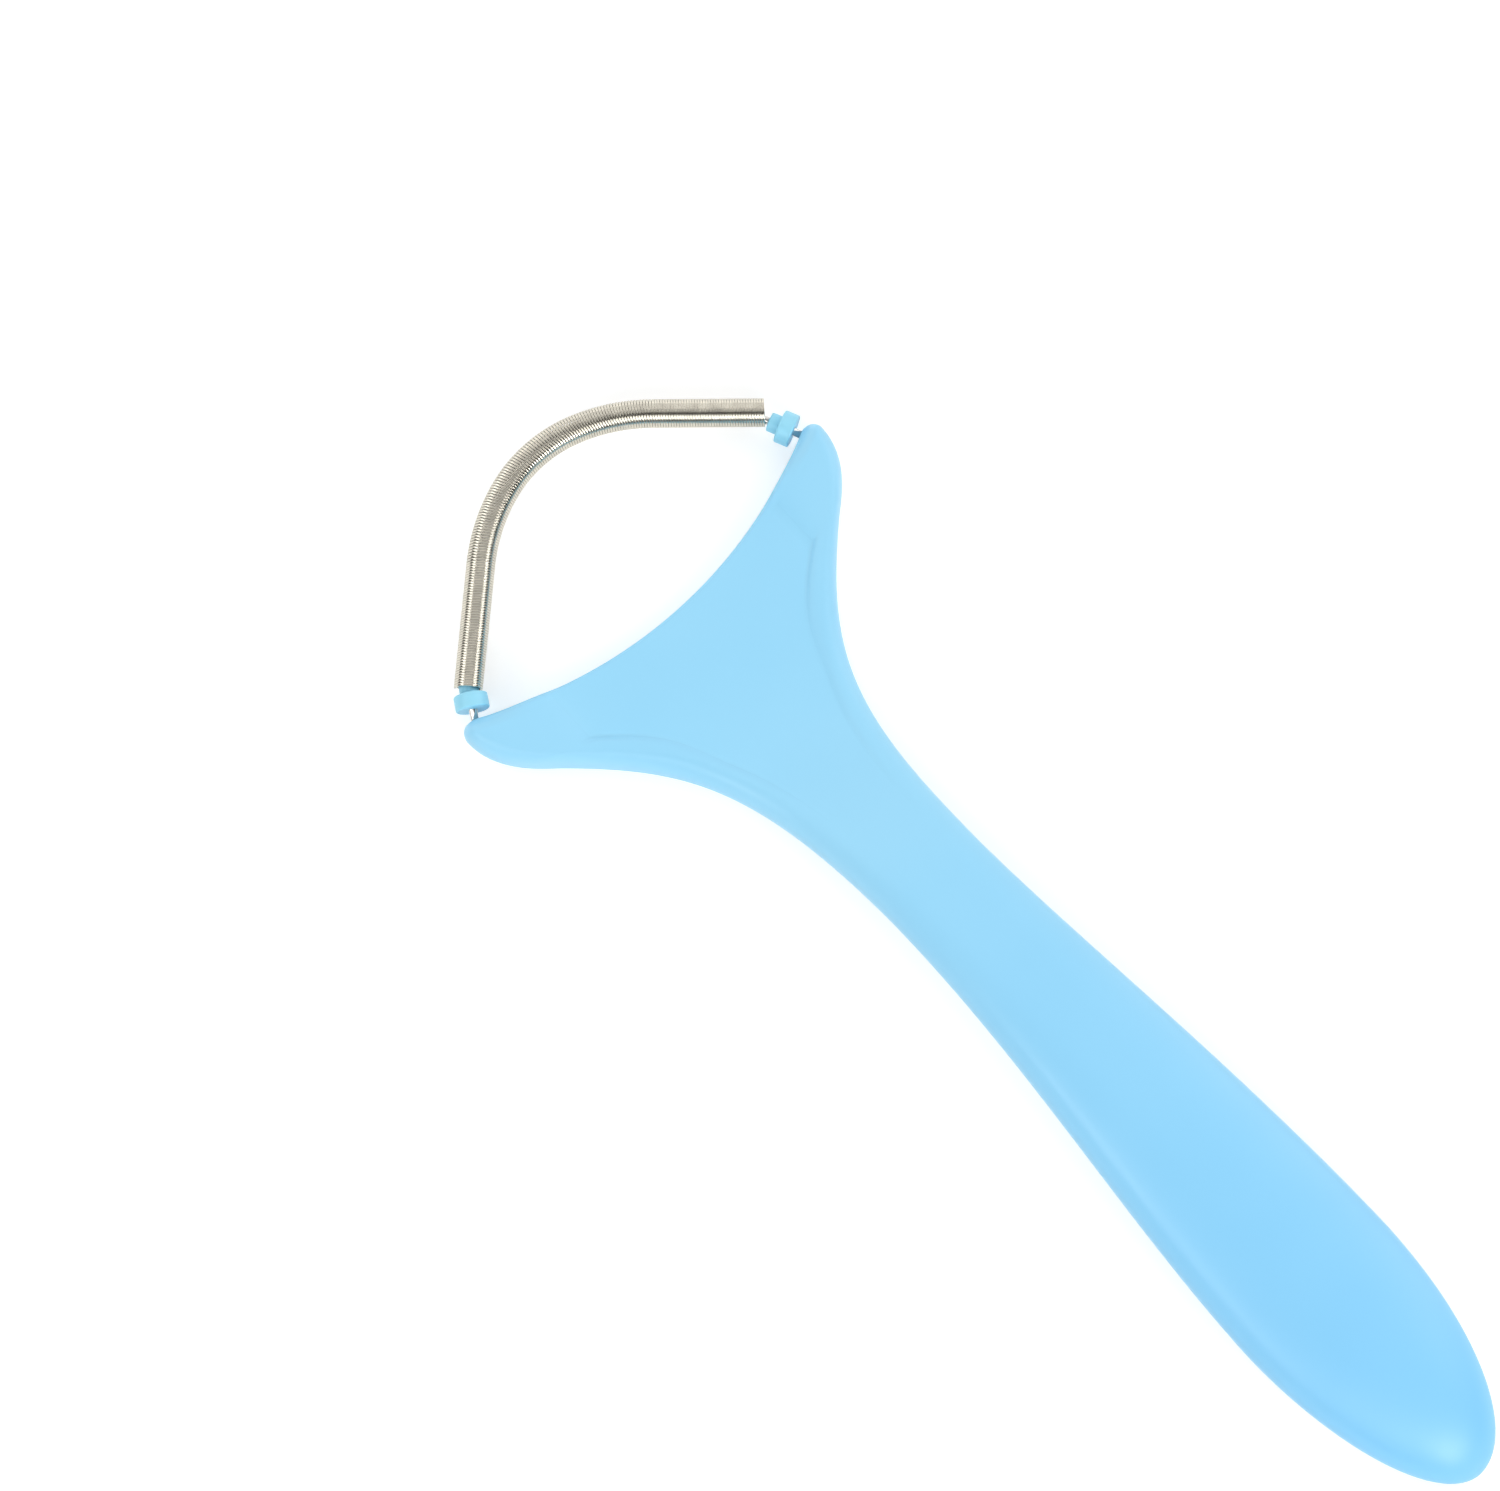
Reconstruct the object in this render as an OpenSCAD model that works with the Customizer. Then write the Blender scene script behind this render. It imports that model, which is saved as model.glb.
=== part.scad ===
// Hair removal spring on a moulded Y handle: a close-wound coil bent into an arch over a steel wire,
// with one loose stepped collar on the wire at each end of the coil.
// The tool lies flat. X runs across the arms, +Y from the grip to the coil and +Z up.
// The origin is under the middle of the whole tool.

/* [Handle outline] */
// From the widest level of the arms to the end of the grip
handle_length = 143.6; // [130:0.1:160]
// Half of the width over the two arms
arm_half_span = 28.5; // [27:0.1:31]
// Distance of each arm tip's highest point inside the widest place
tip_inset = 1.3; // [0.9:0.1:1.6]
// Height of the rounded arm tips above their widest level
tip_rise = 1.5; // [0.8:0.1:2]
// Half of the width where the arms turn into straight flanks
flank_half = 22.7; // [21:0.1:24]
// Distance of that place below the widest level
flank_drop = 9.3; // [8:0.1:12]
// Angle of the flanks to the centre line
flank_lean = 47.5; // [42:0.5:52]
// Half of the width at the slimmest part of the neck
neck_half = 7.05; // [5:0.05:9]
// Distance of the slimmest part below the widest level
neck_drop = 51; // [44:0.5:60]
// Half of the width at the widest part of the grip
grip_half = 11.2; // [9:0.1:14]
// Distance of the widest part of the grip below the widest level of the arms
grip_drop = 115; // [100:1:124]
// Bluntness of the grip's end, where 2 is an ellipse
nose_bluntness = 2; // [1.8:0.1:3]
// Distance of the ends of the hollow front edge inside the widest place
front_inset = 1.7; // [1.6:0.05:1.8]
// Depth of the hollow front edge below the widest level
front_depth = 5.2; // [4.6:0.1:6]

/* [Handle thickness] */
// Thickness of the head and arms
head_thick = 6.2; // [5.6:0.1:8]
// Thickness of the neck
neck_thick = 7.6; // [6.5:0.1:9]
// Thickness of the grip at its widest part
grip_thick = 12; // [10:0.1:15]
// Height of the arch under the handle between the head and the end of the grip
under_rise = 5.7; // [2:0.1:7]
// Height of the grip's end point above the rest surface
nose_height = 1.2; // [0.8:0.1:4]
// Distance below the widest level over which the head keeps its thickness
head_reach = 24; // [20:1:30]
// Width of the rolled edge round the arms
edge_roll = 2.8; // [2.2:0.1:4.5]
// Width of the rolled edge at the arm tips
tip_roll = 1.4; // [0.9:0.1:1.8]
// Rounding of the hollow front edge
front_round = 0.3; // [0.2:0.05:0.6]
// Fullness of the cross-section, where 2 is an ellipse
section_fullness = 2.15; // [2:0.05:2.6]
// Share of their thickness that the arm tips keep at their highest point
tip_taper = 0.6; // [0.5:0.05:0.8]

/* [Head recess] */
// Depth of the shallow recess in each face of the head
recess_depth = 0.3; // [0.2:0.05:0.8]
// Half of the recess's width at the front edge
recess_half = 18.2; // [16:0.1:19.5]
// Width of the raised rim beside the arms
arm_rim = 6.3; // [5:0.1:7]
// Width of the raised rim beside the neck
neck_rim = 3.3; // [2.4:0.1:4]
// Width of the step down into the recess
recess_step = 2.4; // [0.8:0.1:3]
// Distance below the widest level at which the recess has run out
recess_end = 46; // [40:1:48]

/* [Wire] */
// Diameter of the core wire
wire_d = 1; // [0.8:0.05:1.1]
// Distance of each wire socket at the front edge inside the widest place
socket_inset = 2.3; // [2.1:0.1:3]
// Depth of each wire socket in the arm
socket_depth = 2.2; // [1.6:0.1:2.4]
// Clearance of the wire in its sockets, on the radius
socket_clear = 0.01; // [0:0.01:0.03]
// Inward lean of the left end of the wire
left_lean = 31.5; // [29:0.5:34]
// Inward lean of the right end of the wire
right_lean = 24; // [22:0.5:29]
// Radius of the bend where the wire turns into the coil
wire_bend = 4; // [3:0.5:4.5]
// Distance of the wire outside the coil's centre line
wire_offset = 0.35; // [0.3:0.05:0.45]

/* [Collars] */
// Diameter of the collar flange
flange_d = 4.1; // [3.6:0.1:4.6]
// Thickness of the collar flange
flange_thick = 1.85; // [1.25:0.1:2.25]
// Diameter of the collar spigot
spigot_d = 2.4; // [2:0.05:2.45]
// Length of the collar spigot
spigot_length = 1.35; // [1:0.05:1.5]
// Running clearance of the collar on the wire, on the radius
collar_clear = 0.05; // [0.03:0.01:0.08]
// Rounding of the collar's edges
collar_round = 0.2; // [0.1:0.05:0.3]
// Gap between the left collar and its arm
left_gap = 1.5; // [1:0.1:2.5]
// Gap between the right collar and its arm
right_gap = 1; // [0.6:0.1:1.5]

/* [Coil] */
// Outer diameter of the coil
coil_d = 3.5; // [3.3:0.05:3.9]
// Diameter of the coil's wire
coil_wire = 0.31; // [0.28:0.01:0.36]
// Gap between the turns where they lie closest
turn_gap = 0.01; // [0.005:0.005:0.03]
// Angle between the coil's left leg and the line across the arms
left_rise = 42.4; // [40:0.1:44]
// Angle between the coil's right leg and the line across the arms
right_rise = 41.9; // [40:0.1:44]
// Radius of the coil's crown
crown_radius = 17.5; // [15.5:0.5:19.5]
// Radius of the coil's shoulders
shoulder_radius = 23.5; // [21:0.5:26]
// Turn of each shoulder
shoulder_turn = 23.5; // [20:0.5:27]
// Gap between each collar and the end of the coil
seat_gap = 0.12; // [0.1:0.01:0.3]
// Distance of the left wire end inside the coil's centre line
left_sit = 0.12; // [0.04:0.02:0.16]
// Distance of the right wire end inside the coil's centre line, where the coil has slipped off its spigot
right_sit = 0.88; // [0.6:0.02:0.9]

/* [Hidden] */

PLASTIC_BLUE = [0.61, 0.86, 0.98];
STEEL = [0.72, 0.70, 0.66];
BRIGHT_STEEL = [0.80, 0.79, 0.76];
round_fn = 48;

head_half = head_thick / 2;
neck_h = neck_thick / 2;
grip_h = grip_thick / 2;
mid_z = head_half;

// General helpers
function clamp01(t) = max(0, min(1, t));
function ease(t) = let (c = clamp01(t)) c * c * (3 - 2 * c);
function mix(a, b, t) = a + (b - a) * t;
function heading_of(a) = [cos(a), sin(a)];
function left_of(a) = [-sin(a), cos(a)];
function bezier(p, t) =
    let (s = 1 - t)
    s * s * s * p[0] + 3 * s * s * t * p[1] + 3 * s * t * t * p[2] + t * t * t * p[3];

// Half outline of the handle, from the arm tip round to the end of the grip, as [half width, y]
tip_steps = 4;
tip_first = 25;
arm_steps = 8;
flank_steps = 13;
grip_steps = 10;
nose_steps = 10;
arm_pull = 4.9;
flank_lead = 2;
flank_pull = 16;
neck_pull = 23.7;
grip_straight = 0.2;
nose_last = 86;

flank_way = [-sin(flank_lean), -cos(flank_lean)];
flank_point = [flank_half, -flank_drop];
neck_point = [neck_half, -neck_drop];
arm_curve = [
    [arm_half_span, 0],
    [arm_half_span, -arm_pull],
    flank_point - flank_lead * flank_way,
    flank_point
];
flank_curve = [
    flank_point,
    flank_point + flank_pull * flank_way,
    neck_point + [0, neck_pull],
    neck_point
];

function tip_outline(a) = [
    arm_half_span - tip_inset * (1 - sin(a)),
    tip_rise * cos(a)
];
function grip_outline(t) = [
    mix(neck_half, grip_half, mix(ease(t), t, grip_straight)),
    mix(-neck_drop, -grip_drop, t)
];
function nose_outline(a) = [
    grip_half * pow(cos(a), 2 / nose_bluntness),
    mix(-grip_drop, -handle_length, pow(sin(a), 2 / nose_bluntness))
];
front_x = arm_half_span - front_inset;
outline = concat(
    [[front_x, tip_rise]],
    [for (i = [0 : tip_steps - 1]) tip_outline(mix(tip_first, 90, i / tip_steps))],
    [for (i = [0 : arm_steps - 1]) bezier(arm_curve, i / arm_steps)],
    [for (i = [0 : flank_steps - 1]) bezier(flank_curve, i / flank_steps)],
    [for (i = [0 : grip_steps - 1]) grip_outline(i / grip_steps)],
    [for (i = [0 : nose_steps]) nose_outline(nose_last * i / nose_steps)]
);

// Thickness of the handle along its length, and at its arm tips
dome_x = 19.5;
dome_run = 6;
arch_start = 14;
arch_finish = 122;
function nose_share(y) = clamp01((-y - grip_drop) / (handle_length - grip_drop));
function rest_half(y) =
    -y < neck_drop ? mix(head_half, neck_h, ease((-y - head_reach) / (neck_drop - head_reach)))
    : mix(neck_h, grip_h, ease((-y - neck_drop) / (grip_drop - neck_drop)));
function tip_edge(y) = y <= 0 ? 1 : sqrt(1 - (1 - tip_taper * tip_taper) * pow(y / tip_rise, 2));
function tip_dome(x, y) = 1 - (1 - tip_edge(y)) * ease((x - dome_x) / dome_run);
function nose_close(y) = pow(1 - pow(nose_share(y), nose_bluntness), 1 / nose_bluntness);
function half_thick(y) = rest_half(y) * nose_close(y);
function under_z(y) = under_rise * pow(sin(180 * clamp01((-y - arch_start) / (arch_finish - arch_start))), 2);
function middle_z(y) = under_z(y) + half_thick(y) + nose_height * (1 - nose_close(y));

// The cross-sections bow along the hollow front edge, and straighten out on the way to the neck
bow_reach = 26;
bow_full = tip_rise + front_depth;
front_radius = (front_x * front_x + bow_full * bow_full) / (2 * bow_full);
function front_y(x) = front_radius - front_depth - sqrt(front_radius * front_radius - x * x);
function bow_depth(y) = bow_full * (1 - ease((tip_rise - y) / bow_reach));
function bowed_y(x, w, y) = y - bow_depth(y) * (1 - (front_y(front_x * x / w) + front_depth) / bow_full);
function front_gap(y) = max(0, bow_depth(y) - y - front_depth);
function front_loss(y) =
    let (d = max(0, front_round - front_gap(y)))
    (front_round - sqrt(front_round * front_round - d * d)) / head_half;

// Cross-section of the handle: a rolled edge, a rim, a step and the recessed face
edge_points = 5;
face_points = 5;
recess_fade = 22;
corner_x = 12;
corner_run = 6;
corner_reach = 5;
strip_share = 0.25;
strip_reach = 30;
function rim_width(y) = mix(arm_rim, neck_rim, ease((-y - flank_drop) / (head_reach - flank_drop)));
function recess_x(w, y) =
    let (rim = min(recess_half, w - rim_width(y)))
    mix(rim, strip_share * w, ease((-y - recess_end) / strip_reach));
function step_width(w, y) = min(recess_step, (w - recess_x(w, y)) / 2);
function corner_loss(x, w, y) =
    ease((x - corner_x) / corner_run) * (1 - ease((front_y(x) - bowed_y(x, w, y)) / corner_reach));
function recess_drop(x, w, y) =
    recess_depth * (1 - ease((-y - (recess_end - recess_fade)) / recess_fade)) * (1 - corner_loss(x, w, y));
function arm_roll(y) = mix(tip_roll, edge_roll, ease((tip_rise - y) / (tip_rise + arm_pull)));
function roll_width(w, y) = mix(min(arm_roll(y), w), w, ease((-y - head_reach) / (grip_drop - head_reach)));
function face_height(x, w, y) =
    let (roll = roll_width(w, y))
    let (u = clamp01((x - (w - roll)) / roll))
    let (edge = pow(1 - pow(u, section_fullness), 1 / section_fullness))
    let (sunk = ease((recess_x(w, y) + step_width(w, y) - x) / step_width(w, y)))
    (1 - front_loss(y)) * tip_dome(x, y) * (half_thick(y) * edge - recess_drop(x, w, y) * sunk);
function half_stations(w, y) =
    let (x_in = recess_x(w, y))
    let (step = step_width(w, y))
    let (band = w - x_in - step)
    concat(
        [for (i = [0 : edge_points]) w - band * (1 - cos(90 * i / edge_points))],
        [x_in + step / 2],
        [for (i = [0 : face_points - 1]) x_in * (1 - i / face_points)]
    );
function skin_point(x, side, w, y, face) =
    [side * x, bowed_y(x, w, y), middle_z(y) + face * face_height(x, w, y)];
function ring(w, y) =
    let (xs = half_stations(w, y))
    let (n = len(xs))
    concat(
        [for (i = [0 : n - 1]) skin_point(xs[i], 1, w, y, 1)],
        [skin_point(0, 1, w, y, 1)],
        [for (i = [n - 1 : -1 : 0]) skin_point(xs[i], -1, w, y, 1)],
        [for (i = [1 : n - 1]) skin_point(xs[i], -1, w, y, -1)],
        [skin_point(0, 1, w, y, -1)],
        [for (i = [n - 1 : -1 : 1]) skin_point(xs[i], 1, w, y, -1)]
    );

// Faces of a tube through rings of n points each, and its ends: flat, a strip from side to side, or a point
function tube_faces(rings, n) = concat(
    [for (i = [0 : rings - 2], j = [0 : n - 1]) [i * n + j, (i + 1) * n + j, i * n + (j + 1) % n]],
    [for (i = [0 : rings - 2], j = [0 : n - 1])
        [(i + 1) * n + j, (i + 1) * n + (j + 1) % n, i * n + (j + 1) % n]]
);
function flat_start(n) = [[for (j = [0 : n - 1]) j]];
function flat_end(rings, n) = [[for (j = [n - 1 : -1 : 0]) (rings - 1) * n + j]];
function strip_start(n) = concat(
    [[0, 1, n - 1]],
    [for (j = [1 : n / 2 - 2]) [j, j + 1, n - j]],
    [for (j = [1 : n / 2 - 2]) [j + 1, n - j - 1, n - j]],
    [[n / 2 - 1, n / 2, n / 2 + 1]]
);
function point_end(rings, n) = [for (j = [0 : n - 1])
    [(rings - 1) * n + j, rings * n, (rings - 1) * n + (j + 1) % n]];

// Ends of the wire: where each leaves its arm, and the way it points towards the coil
socket_x = arm_half_span - socket_inset;
left_root = [-socket_x, front_y(socket_x)];
right_root = [socket_x, front_y(socket_x)];
left_way = 90 - left_lean;
right_way = 90 + right_lean;

// Ends of the coil's centre line, set off from the collars
coil_r = coil_d / 2;
left_kink = left_way - left_rise;
right_kink = 180 - right_rise - right_way;
left_reach = left_gap + flange_thick + (coil_r + left_sit) * tan(left_kink) + seat_gap;
right_reach = right_gap + flange_thick + spigot_length + (coil_r - right_sit) * tan(right_kink) + seat_gap;
left_end = left_root + left_reach * heading_of(left_way) + left_sit * left_of(left_rise);
right_end = right_root + right_reach * heading_of(right_way) - right_sit * left_of(180 - right_rise);

// Lines that follow the arch go on from place to place, a place being [point, heading]
arc_share = PI / 180;
function turned(piece, length) = piece[1] == 0 ? 0 : length / piece[1] / arc_share;
function moved(place, piece, length) =
    let (a = place[1])
    let (b = a - turned(piece, length))
    [
        place[0] + (piece[1] == 0 ? length * heading_of(a)
            : piece[1] * [sin(a) - sin(b), cos(b) - cos(a)]),
        b
    ];
function place_at(pieces, i, place) = i == 0 ? place
    : let (before = place_at(pieces, i - 1, place)) moved(before, pieces[i - 1], pieces[i - 1][0]);

// Bend of the arch as [length, radius] pieces, for a line set outside by some way
function bend_pieces(out) = [
    [(shoulder_radius + out) * shoulder_turn * arc_share, shoulder_radius + out],
    [(crown_radius + out) * (left_rise + right_rise - 2 * shoulder_turn) * arc_share, crown_radius + out],
    [(shoulder_radius + out) * shoulder_turn * arc_share, shoulder_radius + out]
];

// Straight legs, long enough to join the bend to both ends
function cross_of(a, b) = a[0] * b[1] - a[1] * b[0];
left_leg_way = heading_of(left_rise);
right_leg_way = heading_of(-right_rise);
bend_span = place_at(bend_pieces(0), len(bend_pieces(0)), [[0, 0], left_rise])[0];
leg_span = right_end - left_end - bend_span;
leg_scale = cross_of(left_leg_way, right_leg_way);
left_leg = cross_of(leg_span, right_leg_way) / leg_scale;
right_leg = cross_of(left_leg_way, leg_span) / leg_scale;
function arch_pieces(out, start, finish) =
    concat([[left_leg - start, 0]], bend_pieces(out), [[right_leg - finish, 0]]);

// Coil: a wire of three-sided section that turns round the arch, its turns closest on the inner side
turn_steps = 8;
coil_mean = coil_r - coil_wire / 2;
close_pitch = coil_wire + turn_gap;
coil_arch = arch_pieces(0, 0, 0);
coil_start = [left_end, left_rise];
coil_places = [for (i = [0 : len(coil_arch)]) place_at(coil_arch, i, coil_start)];
function pitch_of(piece) = piece[1] == 0 ? close_pitch : close_pitch * piece[1] / (piece[1] - coil_mean);
coil_turns = [for (piece = coil_arch) piece[0] / pitch_of(piece)];
function turns_before(i) = i == 0 ? 0 : turns_before(i - 1) + coil_turns[i - 1];
turn_starts = [for (i = [0 : len(coil_arch)]) turns_before(i)];
total_turns = turn_starts[len(coil_arch)];
function piece_index(turn, i = 0) =
    i == len(coil_arch) - 1 || turn < turn_starts[i + 1] ? i : piece_index(turn, i + 1);
function place_of_turn(turn) =
    let (i = piece_index(turn))
    moved(coil_places[i], coil_arch[i], (turn - turn_starts[i]) * pitch_of(coil_arch[i]));
section_width = 0.92;
coil_section = [
    [-coil_wire / 2, 0],
    [coil_wire / 2, coil_wire * section_width / 2],
    [coil_wire / 2, -coil_wire * section_width / 2]
];
function coil_point(place, phase, corner) =
    let (r = coil_mean + corner[0])
    let (flat = place[0] + r * cos(phase) * left_of(place[1]) + corner[1] * heading_of(place[1]))
    [flat[0], flat[1], mid_z + r * sin(phase)];
coil_steps = floor((total_turns - coil_wire / close_pitch) * turn_steps);
function coil_ring(k) =
    let (turn = k / turn_steps + coil_wire / close_pitch / 2)
    let (place = place_of_turn(turn))
    [for (corner = coil_section) coil_point(place, 360 * k / turn_steps, corner)];

// Core wire: straight ends, a bend into the coil at each side, and the arch set outside the coil's line
function bend_start(sit, kink) = (wire_offset + sit) / tan(kink);
left_bend = bend_start(left_sit, left_kink);
right_bend = bend_start(right_sit, right_kink);
left_tangent = wire_bend * tan(left_kink / 2);
right_tangent = wire_bend * tan(right_kink / 2);
left_pin = left_reach + left_bend / cos(left_kink) - left_tangent;
right_pin = right_reach + right_bend / cos(right_kink) - right_tangent;
wire_pieces = concat(
    [
        [socket_depth + left_pin, 0],
        [wire_bend * left_kink * arc_share, wire_bend]
    ],
    arch_pieces(wire_offset, left_bend + left_tangent, right_bend + right_tangent),
    [
        [wire_bend * right_kink * arc_share, wire_bend],
        [socket_depth + right_pin, 0]
    ]
);
wire_start = [left_root - socket_depth * heading_of(left_way), left_way];
wire_places = [for (i = [0 : len(wire_pieces)]) place_at(wire_pieces, i, wire_start)];
last_piece = len(wire_pieces) - 1;

// Rings of the bent middle of the wire, which starts and ends inside the straight pins
wire_sides = 12;
bend_step = 10;
pin_lap = 0.1;
sweep_r = 0.99 * wire_d / 2;
function bend_steps(piece) = max(1, ceil(turned(piece, piece[0]) / bend_step));
sweep_places = concat(
    [moved(wire_places[0], wire_pieces[0], wire_pieces[0][0] - 2 * pin_lap)],
    [for (i = [1 : last_piece - 1], j = [0 : bend_steps(wire_pieces[i]) - 1])
        moved(wire_places[i], wire_pieces[i], wire_pieces[i][0] * j / bend_steps(wire_pieces[i]))],
    [wire_places[last_piece]],
    [moved(wire_places[last_piece], wire_pieces[last_piece], 2 * pin_lap)]
);
function wire_ring(place) = [for (j = [0 : wire_sides - 1])
    let (flat = place[0] + sweep_r * cos(360 * j / wire_sides) * left_of(place[1]))
    [flat[0], flat[1], mid_z + sweep_r * sin(360 * j / wire_sides)]];

// Middle of the tool's length, which is moved to the origin
crown_index = 2;
crown_start = coil_places[crown_index];
top_y = crown_start[0][1] - crown_radius * left_of(crown_start[1])[1] + crown_radius + coil_r;
mid_y = (top_y - handle_length) / 2;

module placed() {
    translate([0, -mid_y, 0]) children();
}

// Puts its children on a wire end, with their Z along the wire towards the coil
module on_wire(root, way) {
    translate([root[0], root[1], mid_z])
        rotate([0, 0, way])
            rotate([0, 90, 0])
                children();
}

module handle_body() {
    n = len(ring(outline[0][0], outline[0][1]));
    rings = len(outline);
    points = concat(
        [for (p = outline) each ring(p[0], p[1])],
        [[0, -handle_length, nose_height]]
    );
    polyhedron(points, concat(strip_start(n), tube_faces(rings, n), point_end(rings, n)), convexity = 6);
}

module wire_socket(root, way) {
    on_wire(root, way)
        translate([0, 0, -socket_depth])
            cylinder(d = wire_d + 2 * socket_clear, h = 2 * socket_depth, $fn = round_fn);
}

module handle() {
    color(PLASTIC_BLUE)
        placed()
            difference() {
                handle_body();
                wire_socket(left_root, left_way);
                wire_socket(right_root, right_way);
            }
}

// Straight end of the wire, from the bottom of its socket to its bend
module wire_pin(root, way, piece) {
    on_wire(root, way)
        translate([0, 0, -socket_depth])
            cylinder(d = wire_d, h = piece[0] - pin_lap, $fn = round_fn);
}

module core_wire() {
    points = [for (place = sweep_places) each wire_ring(place)];
    rings = len(sweep_places);
    color(BRIGHT_STEEL)
        placed()
            union() {
                wire_pin(left_root, left_way, wire_pieces[0]);
                wire_pin(right_root, right_way, wire_pieces[last_piece]);
                polyhedron(
                    points,
                    concat(
                        flat_start(wire_sides),
                        tube_faces(rings, wire_sides),
                        flat_end(rings, wire_sides)
                    ),
                    convexity = 6
                );
            }
}

module spring() {
    points = [for (k = [0 : coil_steps]) each coil_ring(k)];
    n = len(coil_section);
    rings = coil_steps + 1;
    color(STEEL)
        placed()
            polyhedron(
                points,
                concat(flat_start(n), tube_faces(rings, n), flat_end(rings, n)),
                convexity = 20
            );
}

// Flange against the arm, spigot towards the coil, and a running bore on the wire
module collar() {
    bore_r = wire_d / 2 + collar_clear;
    flange_r = flange_d / 2;
    spigot_r = spigot_d / 2;
    total = flange_thick + spigot_length;
    rotate_extrude($fn = 2 * round_fn)
        difference() {
            union() {
                translate([collar_round, 0])
                    square([flange_r - 2 * collar_round, flange_thick]);
                translate([0, collar_round])
                    square([flange_r, flange_thick - 2 * collar_round]);
                for (y = [collar_round, flange_thick - collar_round])
                    translate([flange_r - collar_round, y])
                        circle(r = collar_round, $fn = round_fn);
                square([spigot_r - collar_round, total]);
                square([spigot_r, total - collar_round]);
                translate([spigot_r - collar_round, total - collar_round])
                    circle(r = collar_round, $fn = round_fn);
            }
            translate([-1, -1])
                square([bore_r + 1, total + 2]);
        }
}

module left_collar() {
    color(PLASTIC_BLUE)
        placed()
            on_wire(left_root, left_way)
                translate([0, 0, left_gap])
                    collar();
}

module right_collar() {
    color(PLASTIC_BLUE)
        placed()
            on_wire(right_root, right_way)
                translate([0, 0, right_gap])
                    collar();
}

handle();
core_wire();
spring();
left_collar();
right_collar();
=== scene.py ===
import math

import bpy
import numpy as np
from mathutils import Matrix, Vector


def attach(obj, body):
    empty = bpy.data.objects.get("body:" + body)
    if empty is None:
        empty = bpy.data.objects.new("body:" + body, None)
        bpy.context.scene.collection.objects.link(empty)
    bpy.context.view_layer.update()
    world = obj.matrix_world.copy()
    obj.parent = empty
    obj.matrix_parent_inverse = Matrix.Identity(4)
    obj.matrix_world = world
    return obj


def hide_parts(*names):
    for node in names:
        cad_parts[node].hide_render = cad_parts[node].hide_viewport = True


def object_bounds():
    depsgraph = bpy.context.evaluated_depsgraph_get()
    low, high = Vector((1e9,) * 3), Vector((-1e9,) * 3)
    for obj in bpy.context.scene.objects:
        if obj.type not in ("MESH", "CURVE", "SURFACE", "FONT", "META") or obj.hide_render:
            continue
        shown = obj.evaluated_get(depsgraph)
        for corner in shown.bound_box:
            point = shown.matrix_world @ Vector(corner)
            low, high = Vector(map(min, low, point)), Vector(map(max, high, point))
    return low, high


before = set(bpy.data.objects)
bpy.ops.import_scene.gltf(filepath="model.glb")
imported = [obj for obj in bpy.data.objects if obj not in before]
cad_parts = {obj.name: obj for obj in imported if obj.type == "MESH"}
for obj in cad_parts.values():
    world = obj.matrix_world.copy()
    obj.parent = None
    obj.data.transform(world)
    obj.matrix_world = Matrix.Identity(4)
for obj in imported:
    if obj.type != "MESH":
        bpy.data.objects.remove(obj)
cad_low, cad_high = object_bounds()

MM = 0.001

# Sizes of the part in millimetres and angles in degrees, as in the solids
HANDLE_LENGTH = 143.6
ARM_HALF_SPAN = 28.5
TIP_INSET = 1.3
TIP_RISE = 1.5
FLANK_HALF = 22.7
FLANK_DROP = 9.3
FLANK_LEAN = math.radians(47.5)
NECK_HALF = 7.05
NECK_DROP = 51
GRIP_HALF = 11.2
GRIP_DROP = 115
NOSE_BLUNTNESS = 2
FRONT_INSET = 1.7
FRONT_DEPTH = 5.2
HEAD_THICK = 6.2
NECK_THICK = 7.6
GRIP_THICK = 12
UNDER_RISE = 5.7
NOSE_HEIGHT = 1.2
HEAD_REACH = 24
EDGE_ROLL = 2.8
TIP_ROLL = 1.4
FRONT_ROUND = 0.3
SECTION_FULLNESS = 2.15
TIP_TAPER = 0.6
RECESS_END = 46
WIRE_D = 1
SOCKET_INSET = 2.3
SOCKET_DEPTH = 2.2
LEFT_LEAN = 31.5
RIGHT_LEAN = 24
WIRE_BEND = 4
WIRE_OFFSET = 0.35
FLANGE_THICK = 1.85
SPIGOT_LENGTH = 1.35
LEFT_GAP = 1.5
RIGHT_GAP = 1
COIL_D = 3.5
COIL_WIRE = 0.31
TURN_GAP = 0.01
LEFT_RISE = 42.4
RIGHT_RISE = 41.9
CROWN_RADIUS = 17.5
SHOULDER_RADIUS = 23.5
SHOULDER_TURN = 23.5
SEAT_GAP = 0.12
LEFT_SIT = 0.12
RIGHT_SIT = 0.88

ARM_PULL = 4.9
FLANK_LEAD = 2
FLANK_PULL = 16
NECK_PULL = 23.7
GRIP_STRAIGHT = 0.2
DOME_X = 19.5
DOME_RUN = 6
ARCH_START = 14
ARCH_FINISH = 122
BOW_REACH = 26
RECESS_FADE = 22
STRIP_SHARE = 0.25
STRIP_REACH = 30
MID_Z = HEAD_THICK / 2

# The hollow in the head's face, with a crisper edge than in the solids
RECESS_DEPTH = 0.5
RECESS_HALF = 17.8
ARM_RIM = 6.9
NECK_RIM = 3.4
RECESS_STEP = 2.9
STEP_SHARE = 0.8
CORNER_X = 16
CORNER_RUN = 3
CORNER_REACH = 1.3

# The spring's wire, flatter than in the solids, where 2 would be round
WIRE_FULLNESS = 5

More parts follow.
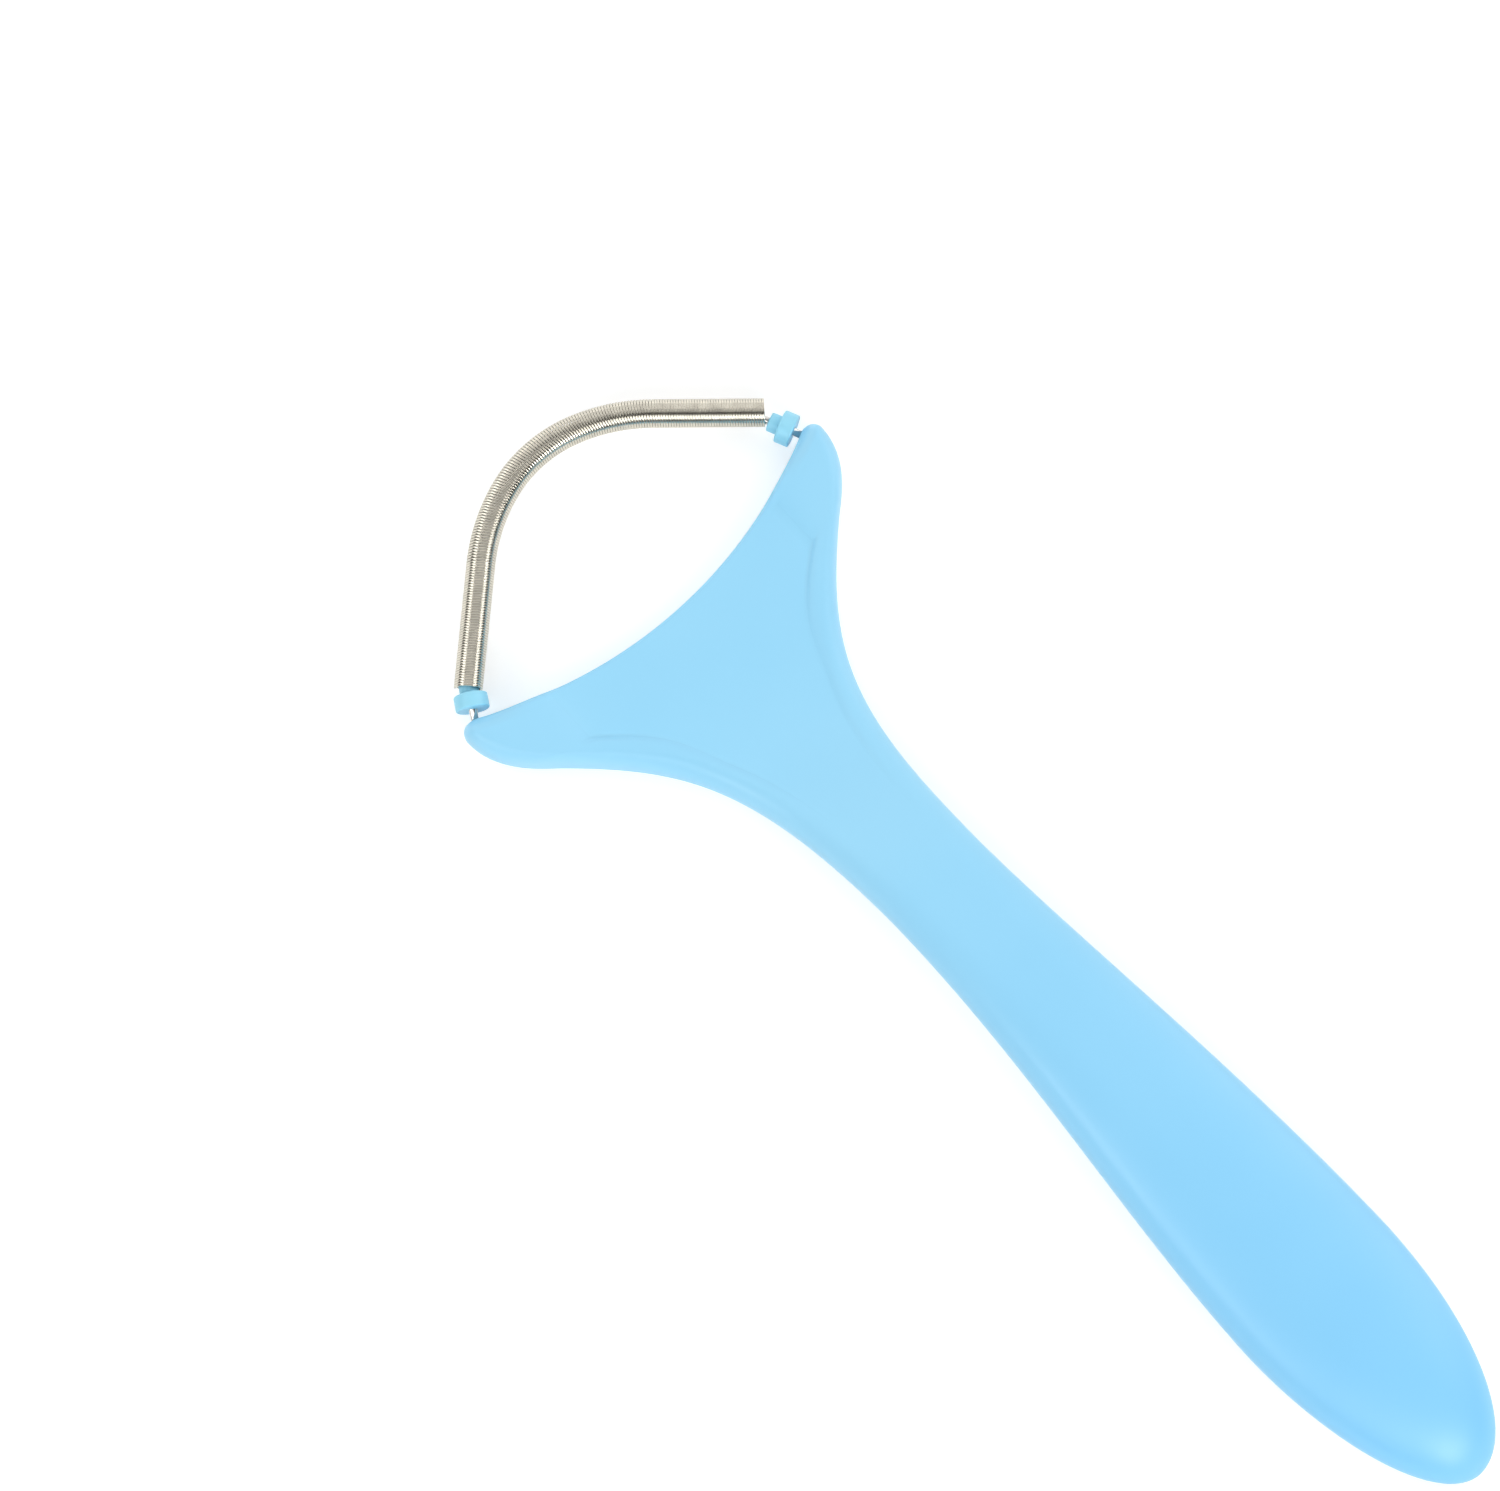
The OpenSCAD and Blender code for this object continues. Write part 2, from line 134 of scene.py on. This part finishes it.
# Fineness of the meshes
TIP_ANGLES = (5, 10, 15, 20, 25, 30, 37, 45, 53, 61, 69, 76, 83)
ARM_ROWS = 24
FLANK_ROWS = 60
GRIP_ROWS = 50
NOSE_ROWS = 56
NOSE_LAST_ANGLE = 89.4
RIM_COLUMNS = 28
FACE_COLUMNS = 14
TURN_STEPS = 24
COIL_SIDES = 16
WIRE_SIDES = 24
BEND_STEP = 3

# Helpers


def ease(t):
    c = min(1.0, max(0.0, t))
    return c * c * (3 - 2 * c)


def mix(a, b, t):
    return a + (b - a) * t


def heading(deg):
    return np.array([math.cos(math.radians(deg)), math.sin(math.radians(deg))])


def left_of(deg):
    return np.array([-math.sin(math.radians(deg)), math.cos(math.radians(deg))])


def bezier(p, t):
    s = 1 - t
    return s**3 * p[0] + 3 * s * s * t * p[1] + 3 * s * t * t * p[2] + t**3 * p[3]


def mesh_object(name, verts, faces, body, node, slot):
    """A piece that rides on a body and stands for a node; the slot argument is not used."""
    mesh = bpy.data.meshes.new(name)
    mesh.from_pydata([tuple(v) for v in verts], [], faces)
    mesh.update()
    mesh.polygons.foreach_set("use_smooth", [True] * len(mesh.polygons))
    obj = bpy.data.objects.new(name, mesh)
    bpy.context.scene.collection.objects.link(obj)
    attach(obj, body)
    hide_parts(node)
    return obj


# Handle
FRONT_X = ARM_HALF_SPAN - FRONT_INSET
BOW_FULL = TIP_RISE + FRONT_DEPTH
FRONT_RADIUS = (FRONT_X**2 + BOW_FULL**2) / (2 * BOW_FULL)


def handle_outline():
    """Half widths and levels of the cross-sections, from the front edge to the grip's end."""
    way = np.array([-math.sin(FLANK_LEAN), -math.cos(FLANK_LEAN)])
    flank = np.array([FLANK_HALF, -FLANK_DROP])
    neck = np.array([NECK_HALF, -NECK_DROP])
    arm_curve = [
        np.array([ARM_HALF_SPAN, 0.0]),
        np.array([ARM_HALF_SPAN, -ARM_PULL]),
        flank - FLANK_LEAD * way,
        flank,
    ]
    flank_curve = [flank, flank + FLANK_PULL * way, neck + np.array([0, NECK_PULL]), neck]
    rows = [(FRONT_X, TIP_RISE)]
    for a in TIP_ANGLES:
        s, c = math.sin(math.radians(a)), math.cos(math.radians(a))
        rows.append((ARM_HALF_SPAN - TIP_INSET * (1 - s), TIP_RISE * c))
    rows += [tuple(bezier(arm_curve, i / ARM_ROWS)) for i in range(ARM_ROWS)]
    rows += [tuple(bezier(flank_curve, i / FLANK_ROWS)) for i in range(FLANK_ROWS)]
    for i in range(GRIP_ROWS):
        t = i / GRIP_ROWS
        width = mix(NECK_HALF, GRIP_HALF, mix(ease(t), t, GRIP_STRAIGHT))
        rows.append((width, mix(-NECK_DROP, -GRIP_DROP, t)))
    power = 2 / NOSE_BLUNTNESS
    for i in range(NOSE_ROWS):
        a = math.radians(NOSE_LAST_ANGLE * i / (NOSE_ROWS - 1))
        rows.append(
            (
                GRIP_HALF * math.cos(a) ** power,
                mix(-GRIP_DROP, -HANDLE_LENGTH, math.sin(a) ** power),
            )
        )
    return rows


def nose_close(y):
    share = min(1.0, max(0.0, (-y - GRIP_DROP) / (HANDLE_LENGTH - GRIP_DROP)))
    return max(0.0, 1 - share**NOSE_BLUNTNESS) ** (1 / NOSE_BLUNTNESS)


def rest_half(y):
    head, neck, grip = HEAD_THICK / 2, NECK_THICK / 2, GRIP_THICK / 2
    if -y < NECK_DROP:
        return mix(head, neck, ease((-y - HEAD_REACH) / (NECK_DROP - HEAD_REACH)))
    return mix(neck, grip, ease((-y - NECK_DROP) / (GRIP_DROP - NECK_DROP)))


def under_z(y):
    t = min(1.0, max(0.0, (-y - ARCH_START) / (ARCH_FINISH - ARCH_START)))
    return UNDER_RISE * math.sin(math.pi * t) ** 2


def middle_z(y):
    close = nose_close(y)
    return under_z(y) + rest_half(y) * close + NOSE_HEIGHT * (1 - close)


def front_y(x):
    return FRONT_RADIUS - FRONT_DEPTH - math.sqrt(FRONT_RADIUS**2 - x * x)


def bow_depth(y):
    return BOW_FULL * (1 - ease((TIP_RISE - y) / BOW_REACH))


def bowed_y(x, w, y):
    return y - bow_depth(y) * (1 - (front_y(FRONT_X * x / w) + FRONT_DEPTH) / BOW_FULL)


def front_loss(y):
    gap = max(0.0, bow_depth(y) - y - FRONT_DEPTH)
    d = max(0.0, FRONT_ROUND - gap)
    return (FRONT_ROUND - math.sqrt(FRONT_ROUND**2 - d * d)) / (HEAD_THICK / 2)


def tip_dome(x, y):
    if y <= 0:
        return 1.0
    edge = math.sqrt(1 - (1 - TIP_TAPER**2) * (min(y, TIP_RISE) / TIP_RISE) ** 2)
    return 1 - (1 - edge) * ease((x - DOME_X) / DOME_RUN)


def recess_x(w, y):
    rim_width = mix(ARM_RIM, NECK_RIM, ease((-y - FLANK_DROP) / (HEAD_REACH - FLANK_DROP)))
    rim = min(RECESS_HALF, w - rim_width)
    return mix(rim, STRIP_SHARE * w, ease((-y - RECESS_END) / STRIP_REACH))


def face_height(x, w, y):
    arm_roll = mix(TIP_ROLL, EDGE_ROLL, ease((TIP_RISE - y) / (TIP_RISE + ARM_PULL)))
    roll = mix(min(arm_roll, w), w, ease((-y - HEAD_REACH) / (GRIP_DROP - HEAD_REACH)))
    u = min(1.0, max(0.0, (x - (w - roll)) / roll))
    edge = max(0.0, 1 - u**SECTION_FULLNESS) ** (1 / SECTION_FULLNESS)
    x_in = recess_x(w, y)
    step = min(RECESS_STEP, STEP_SHARE * (w - x_in))
    sunk = min(1.0, max(0.0, (x_in + step - x) / step)) ** 3
    corner = ease((x - CORNER_X) / CORNER_RUN) * (
        1 - ease((front_y(x) - bowed_y(x, w, y)) / CORNER_REACH)
    )
    drop = RECESS_DEPTH * (1 - ease((-y - (RECESS_END - RECESS_FADE)) / RECESS_FADE))
    drop *= 1 - corner
    height = rest_half(y) * nose_close(y) * edge - drop * sunk
    return (1 - front_loss(y)) * tip_dome(x, y) * height


def handle_mesh(shift):
    """The handle's skin from the same cross-sections as the solid, only finer."""
    rows = handle_outline()
    shares = [(1 - math.cos(math.pi * i / RIM_COLUMNS)) / 2 for i in range(RIM_COLUMNS)]
    verts, faces = [], []
    for w, y in rows:
        x_in = recess_x(w, y)
        xs = [w - (w - x_in) * share for share in shares]
        xs += [x_in * (1 - i / FACE_COLUMNS) for i in range(FACE_COLUMNS)]
        hs = [face_height(x, w, y) for x in xs]
        ys = [bowed_y(x, w, y) for x in xs]
        zm = middle_z(y)
        h0, y0 = face_height(0, w, y), bowed_y(0, w, y)
        top = [(x, q, zm + h) for x, q, h in zip(xs, ys, hs)]
        low = [(x, q, zm - h) for x, q, h in zip(xs, ys, hs)]
        ring = top + [(0, y0, zm + h0)] + [(-x, q, z) for x, q, z in reversed(top)]
        ring += [(-x, q, z) for x, q, z in low[1:]] + [(0, y0, zm - h0)]
        ring += reversed(low[1:])
        verts += ring
    n = len(ring)
    for i in range(len(rows) - 1):
        for j in range(n):
            k = (j + 1) % n
            faces.append((i * n + j, i * n + k, (i + 1) * n + k, (i + 1) * n + j))
    half = n // 2
    faces.append((0, n - 1, 1))
    for j in range(1, half - 1):
        faces.append((j, n - j, n - j - 1, j + 1))
    faces.append((half - 1, half + 1, half))
    last = (len(rows) - 1) * n
    verts.append((0, -HANDLE_LENGTH, NOSE_HEIGHT))
    for j in range(n):
        faces.append((last + j, last + (j + 1) % n, len(verts) - 1))
    verts = (np.array(verts) + np.array([0, shift, 0])) * MM
    # Finer rows reach 0.03 mm past the solid's top, so the skin is set to its height
    verts[:, 2] *= cad_high[2] / verts[:, 2].max()
    return verts, faces


# Arch of the spring and the core wire
ARC = math.pi / 180
SOCKET_X = ARM_HALF_SPAN - SOCKET_INSET
left_root = np.array([-SOCKET_X, front_y(SOCKET_X)])
right_root = np.array([SOCKET_X, front_y(SOCKET_X)])
left_way = 90 - LEFT_LEAN
right_way = 90 + RIGHT_LEAN
coil_r = COIL_D / 2
left_kink = left_way - LEFT_RISE
right_kink = 180 - RIGHT_RISE - right_way
left_reach = (
    LEFT_GAP + FLANGE_THICK + (coil_r + LEFT_SIT) * math.tan(left_kink * ARC) + SEAT_GAP
)
right_reach = (
    RIGHT_GAP
    + FLANGE_THICK
    + SPIGOT_LENGTH
    + (coil_r - RIGHT_SIT) * math.tan(right_kink * ARC)
    + SEAT_GAP
)
left_end = left_root + left_reach * heading(left_way) + LEFT_SIT * left_of(LEFT_RISE)
right_end = right_root + right_reach * heading(right_way) - RIGHT_SIT * left_of(180 - RIGHT_RISE)


def moved(place, piece, length):
    """The place that lies a length further on, along a piece of given length and bend radius."""
    point, a = place
    if piece[1] == 0:
        return point + length * heading(a), a
    b = a - length / piece[1] / ARC
    return (
        point
        + piece[1]
        * np.array(
            [
                math.sin(a * ARC) - math.sin(b * ARC),
                math.cos(b * ARC) - math.cos(a * ARC),
            ]
        ),
        b,
    )


def places_along(pieces, place):
    out = [place]
    for piece in pieces:
        out.append(moved(out[-1], piece, piece[0]))
    return out


def bend_pieces(out):
    crown_turn = LEFT_RISE + RIGHT_RISE - 2 * SHOULDER_TURN
    return [
        ((SHOULDER_RADIUS + out) * SHOULDER_TURN * ARC, SHOULDER_RADIUS + out),
        ((CROWN_RADIUS + out) * crown_turn * ARC, CROWN_RADIUS + out),
        ((SHOULDER_RADIUS + out) * SHOULDER_TURN * ARC, SHOULDER_RADIUS + out),
    ]


bend_span = places_along(bend_pieces(0), (np.zeros(2), LEFT_RISE))[-1][0]
leg_ways = np.array([heading(LEFT_RISE), heading(-RIGHT_RISE)]).T
left_leg, right_leg = np.linalg.solve(leg_ways, right_end - left_end - bend_span)


def arch_pieces(out, start, finish):
    return [(left_leg - start, 0)] + bend_pieces(out) + [(right_leg - finish, 0)]


def tube(places, radius, sides, shift):
    """Round tube through places of the arch, closed at both ends."""
    verts, faces = [], []
    for point, a in places:
        for j in range(sides):
            t = 2 * math.pi * j / sides
            flat = point + radius * math.cos(t) * left_of(a)
            verts.append((flat[0], flat[1] + shift, MID_Z + radius * math.sin(t)))
    for i in range(len(places) - 1):
        for j in range(sides):
            k = (j + 1) % sides
            faces.append(
                (i * sides + j, i * sides + k, (i + 1) * sides + k, (i + 1) * sides + j)
            )
    faces.append(tuple(range(sides - 1, -1, -1)))
    faces.append(tuple(range((len(places) - 1) * sides, len(places) * sides)))
    return np.array(verts) * MM, faces


def signed_power(values):
    return np.sign(values) * np.abs(values) ** (2 / WIRE_FULLNESS)


def coil_mesh(shift, steps, sides):
    """The close-wound spring, its turns closest on the inner side of the bend."""
    mean = coil_r - COIL_WIRE / 2
    close = COIL_WIRE + TURN_GAP
    arch = arch_pieces(0, 0, 0)
    places = places_along(arch, (left_end, LEFT_RISE))
    pitches = [close if p[1] == 0 else close * p[1] / (p[1] - mean) for p in arch]
    turns = [p[0] / q for p, q in zip(arch, pitches)]
    starts = np.concatenate([[0], np.cumsum(turns)])
    lead = COIL_WIRE / close / 2
    count = int((starts[-1] - 2 * lead) * steps)
    ring = 2 * math.pi * (np.arange(sides) + 0.5) / sides
    outward = COIL_WIRE / 2 * signed_power(np.cos(ring))
    s = COIL_WIRE / 2 * signed_power(np.sin(ring))
    verts, faces = [], []
    for k in range(count + 1):
        turn = k / steps + lead
        i = min(int(np.searchsorted(starts, turn, side="right")) - 1, len(arch) - 1)
        point, a = moved(places[i], arch[i], (turn - starts[i]) * pitches[i])
        phase = 2 * math.pi * k / steps
        out, along = left_of(a), heading(a)
        r = mean + outward
        x = point[0] + r * math.cos(phase) * out[0] + s * along[0]
        y = point[1] + r * math.cos(phase) * out[1] + s * along[1] + shift
        z = MID_Z + r * math.sin(phase)
        verts.append(np.stack([x, y, z], axis=1))
    for i in range(count):
        for j in range(sides):
            k = (j + 1) % sides
            faces.append(
                (i * sides + j, (i + 1) * sides + j, (i + 1) * sides + k, i * sides + k)
            )
    faces.append(tuple(range(sides)))
    faces.append(tuple(range((count + 1) * sides - 1, count * sides - 1, -1)))
    return np.concatenate(verts) * MM, faces


def wire_places():
    """Places along the core wire, from the bottom of one socket to the bottom of the other."""

    def bend_start(sit, kink):
        return (WIRE_OFFSET + sit) / math.tan(kink * ARC)

    left_bend = bend_start(LEFT_SIT, left_kink)
    right_bend = bend_start(RIGHT_SIT, right_kink)
    left_tangent = WIRE_BEND * math.tan(left_kink / 2 * ARC)
    right_tangent = WIRE_BEND * math.tan(right_kink / 2 * ARC)
    left_pin = left_reach + left_bend / math.cos(left_kink * ARC) - left_tangent
    right_pin = right_reach + right_bend / math.cos(right_kink * ARC) - right_tangent
    pieces = [(SOCKET_DEPTH + left_pin, 0), (WIRE_BEND * left_kink * ARC, WIRE_BEND)]
    pieces += arch_pieces(WIRE_OFFSET, left_bend + left_tangent, right_bend + right_tangent)
    pieces += [(WIRE_BEND * right_kink * ARC, WIRE_BEND), (SOCKET_DEPTH + right_pin, 0)]
    start = (left_root - SOCKET_DEPTH * heading(left_way), left_way)
    knots = places_along(pieces, start)
    out = []
    for place, piece in zip(knots, pieces):
        steps = 1 if piece[1] == 0 else max(2, math.ceil(piece[0] / piece[1] / ARC / BEND_STEP))
        out += [moved(place, piece, piece[0] * i / steps) for i in range(steps)]
    out.append(knots[-1])
    return out


crown_place, crown_way = places_along(arch_pieces(0, 0, 0), (left_end, LEFT_RISE))[2]
top_y = (crown_place - CROWN_RADIUS * left_of(crown_way))[1] + CROWN_RADIUS + coil_r
SHIFT = -(top_y - HANDLE_LENGTH) / 2

handle = mesh_object(
    "handle_skin", *handle_mesh(SHIFT), "tool", "handle", "handle_plastic"
)
coil = mesh_object(
    "coil_turns", *coil_mesh(SHIFT, TURN_STEPS, COIL_SIDES), "tool", "spring", "coil_steel"
)
wire = mesh_object(
    "core_wire_round",
    *tube(wire_places(), WIRE_D / 2, WIRE_SIDES, SHIFT),
    "tool",
    "core_wire",
    "wire_steel",
)

# Materials
# Where the handle's colour starts to darken and where it is darkest, toward the grip's end:
# partly the thicker plastic, partly painted shade
TINT_START_Y, TINT_FULL_Y = 0.02, -0.083


def new_material(name):
    mat = bpy.data.materials.new(name)
    mat.use_nodes = True
    nodes, links = mat.node_tree.nodes, mat.node_tree.links
    shader = nodes["Principled BSDF"]
    return mat, nodes, links, shader


def clouded(nodes, links, coords, low, high, scale, detail, contrast):
    """A faint cloud of two colours."""
    cloud = nodes.new("ShaderNodeTexNoise")
    cloud.inputs["Scale"].default_value = scale
    cloud.inputs["Detail"].default_value = detail
    ramp = nodes.new("ShaderNodeValToRGB")
    ramp.color_ramp.elements[0].position = contrast
    ramp.color_ramp.elements[0].color = (*low, 1)
    ramp.color_ramp.elements[1].position = 1 - contrast
    ramp.color_ramp.elements[1].color = (*high, 1)
    links.new(coords.outputs["Object"], cloud.inputs["Vector"])
    links.new(cloud.outputs["Fac"], ramp.inputs["Fac"])
    return ramp.outputs["Color"]


def plastic(name, low, high, deep_end_and_shade=(1, 1, 1)):
    """Satin moulded plastic with a very fine skin, its colour deepening toward the grip's end,
    partly from the thicker plastic and partly as painted shade.
    """
    mat, nodes, links, shader = new_material(name)
    coords = nodes.new("ShaderNodeTexCoord")
    color = clouded(nodes, links, coords, low, high, 45, 2, 0.35)
    skin = nodes.new("ShaderNodeTexNoise")
    skin.inputs["Scale"].default_value = 900
    bump = nodes.new("ShaderNodeBump")
    bump.inputs["Strength"].default_value = 0.05
    bump.inputs["Distance"].default_value = 0.0001
    along = nodes.new("ShaderNodeSeparateXYZ")
    deepen_and_shade_share = nodes.new("ShaderNodeMapRange")
    deepen_and_shade_share.inputs["From Min"].default_value = TINT_START_Y
    deepen_and_shade_share.inputs["From Max"].default_value = TINT_FULL_Y
    # Multiplies the colour darker toward the grip's end: partly the deep tone of thicker
    # plastic, partly painted shade
    deepen_and_shade = nodes.new("ShaderNodeMix")
    deepen_and_shade.data_type = "RGBA"
    deepen_and_shade.blend_type = "MULTIPLY"
    deepen_and_shade.inputs["B"].default_value = (*deep_end_and_shade, 1)
    links.new(coords.outputs["Object"], along.inputs["Vector"])
    links.new(along.outputs["Y"], deepen_and_shade_share.inputs["Value"])
    links.new(deepen_and_shade_share.outputs["Result"], deepen_and_shade.inputs["Factor"])
    links.new(color, deepen_and_shade.inputs["A"])
    links.new(deepen_and_shade.outputs["Result"], shader.inputs["Base Color"])
    links.new(coords.outputs["Object"], skin.inputs["Vector"])
    links.new(skin.outputs["Fac"], bump.inputs["Height"])
    links.new(bump.outputs["Normal"], shader.inputs["Normal"])
    shader.inputs["Roughness"].default_value = 0.38
    shader.inputs["IOR"].default_value = 1.46
    return mat


def steel(name, low, high, roughness):
    """Bright drawn wire."""
    mat, nodes, links, shader = new_material(name)
    coords = nodes.new("ShaderNodeTexCoord")
    color = clouded(nodes, links, coords, low, high, 700, 3, 0.3)
    links.new(color, shader.inputs["Base Color"])
    shader.inputs["Metallic"].default_value = 1
    shader.inputs["Roughness"].default_value = roughness
    return mat


# The last colour darkens the grip's end, partly as painted shade
blue = plastic(
    "blue_plastic", (0.31, 0.685, 0.935), (0.325, 0.70, 0.945), deep_end_and_shade=(0.71, 0.86, 0.98)
)
collar_blue = plastic("collar_blue_plastic", (0.30, 0.70, 0.90), (0.32, 0.72, 0.91))
coil_metal = steel("coil_wire_steel", (0.57, 0.54, 0.465), (0.67, 0.635, 0.545), 0.2)
wire_metal = steel("core_wire_steel", (0.62, 0.60, 0.57), (0.70, 0.68, 0.65), 0.15)
handle.data.materials.append(blue)
coil.data.materials.append(coil_metal)
wire.data.materials.append(wire_metal)
for name in ("left_collar", "right_collar"):
    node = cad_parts[name]
    node.data.materials.clear()
    node.data.materials.append(collar_blue)

# Floor: pale grey for the light, white for the camera and for reflections
FLOOR_HALF = 3.0
FLOOR_DROP = 0.00002
FLOOR_GREY = 0.82
FLOOR_GLOW = 0.42
floor_mesh = bpy.data.meshes.new("floor")
corners = [(-1, -1), (1, -1), (1, 1), (-1, 1)]
floor_mesh.from_pydata(
    [(FLOOR_HALF * x, FLOOR_HALF * y, 0) for x, y in corners], [], [(0, 1, 2, 3)]
)
floor = bpy.data.objects.new("floor", floor_mesh)
floor.location.z = -FLOOR_DROP
bpy.context.scene.collection.objects.link(floor)
mat, nodes, links, shader = new_material("floor_white")
shader.inputs["Base Color"].default_value = (FLOOR_GREY, FLOOR_GREY, FLOOR_GREY, 1)
shader.inputs["Roughness"].default_value = 0.9
shader.inputs["Emission Color"].default_value = (1, 1, 1, 1)
path = nodes.new("ShaderNodeLightPath")
seen = path.outputs["Is Camera Ray"]
for ray in ("Is Glossy Ray", "Is Transmission Ray"):
    either = nodes.new("ShaderNodeMath")
    either.operation = "MAXIMUM"
    links.new(seen, either.inputs[0])
    links.new(path.outputs[ray], either.inputs[1])
    seen = either.outputs[0]
scale = nodes.new("ShaderNodeMath")
scale.operation = "MULTIPLY"
scale.inputs[1].default_value = FLOOR_GLOW
links.new(seen, scale.inputs[0])
links.new(scale.outputs[0], shader.inputs["Emission Strength"])
floor.data.materials.append(mat)

# Camera at the photo's viewing angle, angles in degrees and lengths in millimetres
CAM_TILT, CAM_AZ, CAM_ROLL = 13.694, -134.496, -43.252
CAM_DISTANCE = 900.0
CAM_TARGET = (-4.136, 37.675, 3.2)
MM_PER_PIXEL = 0.1182
PHOTO_WIDTH = 1500
tilt, az, roll = (math.radians(v) for v in (CAM_TILT, CAM_AZ, CAM_ROLL))
away = np.array([math.sin(tilt) * math.cos(az), math.sin(tilt) * math.sin(az), math.cos(tilt)])
right = np.cross(-away, [0, 1, 0])
right /= np.linalg.norm(right)
up = np.cross(right, -away)
cam_right = math.cos(roll) * right + math.sin(roll) * up
cam_up = math.cos(roll) * up - math.sin(roll) * right
eye = (np.array(CAM_TARGET) + CAM_DISTANCE * away) * MM
camera_data = bpy.data.cameras.new("camera")
camera_data.type = "PERSP"
camera_data.sensor_fit = "HORIZONTAL"
camera_data.sensor_width = 36
camera_data.lens = CAM_DISTANCE / MM_PER_PIXEL * camera_data.sensor_width / PHOTO_WIDTH
camera_data.clip_start = 0.01
camera_data.clip_end = 20
camera_data.dof.use_dof = False
camera = bpy.data.objects.new("camera", camera_data)
camera.matrix_world = Matrix(
    [[cam_right[i], cam_up[i], away[i], eye[i]] for i in range(3)] + [[0, 0, 0, 1]]
)
bpy.context.scene.collection.objects.link(camera)
bpy.context.scene.camera = camera


# Light: two small lamps for the plastic, and a room of bands for the steel
def area_light(name, place, power):
    """A square lamp that faces the origin."""
    data = bpy.data.lights.new(name, "AREA")
    data.shape = "RECTANGLE"
    data.size = data.size_y = LAMP_SIDE
    data.energy = power
    light = bpy.data.objects.new(name, data)
    light.location = place
    light.rotation_euler = (-Vector(place)).to_track_quat("-Z", "Y").to_euler()
    bpy.context.scene.collection.objects.link(light)


LAMP_SIDE = 0.35
area_light("key", (-0.014, -0.898, 0.439), 3.75)
area_light("fill", (-0.892, 0.038, 0.451), 2.15)

world = bpy.data.worlds.new("studio")
bpy.context.scene.world = world
world.use_nodes = True
nodes, links = world.node_tree.nodes, world.node_tree.links
background = nodes["Background"]
coords = nodes.new("ShaderNodeTexCoord")


def part_along(way):
    """Share of a direction of the surroundings that points one way, from -1 to 1."""
    dot = nodes.new("ShaderNodeVectorMath")
    dot.operation = "DOT_PRODUCT"
    dot.inputs[1].default_value = tuple(way)
    links.new(coords.outputs["Generated"], dot.inputs[0])
    return dot.outputs["Value"]


def levels(source, *stops):
    """Grey levels along a value that runs from -1 to 1, from pairs of a place and a level."""
    spread = nodes.new("ShaderNodeMapRange")
    spread.inputs["From Min"].default_value = -1
    spread.inputs["From Max"].default_value = 1
    ramp = nodes.new("ShaderNodeValToRGB")
    ramp.color_ramp.interpolation = "LINEAR"
    elements = ramp.color_ramp.elements
    ends = [(elements[0], stops[0]), (elements[1], stops[-1])]
    for element, (place, grey) in ends:
        element.position = (place + 1) / 2
        element.color = (grey, grey, grey, 1)
    for place, grey in stops[1:-1]:
        elements.new((place + 1) / 2).color = (grey, grey, grey, 1)
    links.new(source, spread.inputs["Value"])
    links.new(spread.outputs["Result"], ramp.inputs["Fac"])
    return ramp.outputs["Color"]


def combine(kind, first, second):
    node = nodes.new("ShaderNodeMix")
    node.data_type = "RGBA"
    node.blend_type = kind
    node.inputs["Factor"].default_value = 1
    links.new(first, node.inputs["A"])
    links.new(second, node.inputs["B"])
    return node.outputs["Result"]


# A bright room above the picture, dim beyond its lower edge, with narrow lamps along its sides
upward = part_along(cam_up)
sideways = part_along(cam_right)
bench_dim = levels(
    upward, (-1, 0.3), (-0.97, 0.1), (0.06, 0.1), (0.16, 0.5), (0.5, 0.55), (0.62, 1), (1, 1)
)
bench_width = levels(sideways, (-0.75, 0.12), (-0.55, 1), (0.55, 1), (0.75, 0.12))
bench = combine("MULTIPLY", bench_dim, bench_width)
low_lamp = levels(upward, (-0.78, 0), (-0.7, 2.1), (-0.34, 2.1), (-0.2, 0))
near_middle = levels(sideways, (-0.6, 0), (-0.3, 1), (0.3, 1), (0.6, 0))
left_lamp = ((-0.86, 0), (-0.82, 2.2), (-0.62, 2.2), (-0.56, 0))
right_lamp = ((0.6, 0), (0.66, 2.2), (0.86, 2.2), (0.9, 0))
side_lamps = levels(sideways, *left_lamp, *right_lamp)
above_middle = levels(upward, (0.1, 0), (0.2, 1))
lamps = combine(
    "LIGHTEN",
    combine("MULTIPLY", low_lamp, near_middle),
    combine("MULTIPLY", side_lamps, above_middle),
)
from_below = levels(part_along(away), (-0.05, 0.6), (0.1, 0))
room = combine("ADD", combine("LIGHTEN", bench, lamps), from_below)
links.new(room, background.inputs["Color"])
background.inputs["Strength"].default_value = 1

scene = bpy.context.scene
scene.view_settings.view_transform = "Standard"
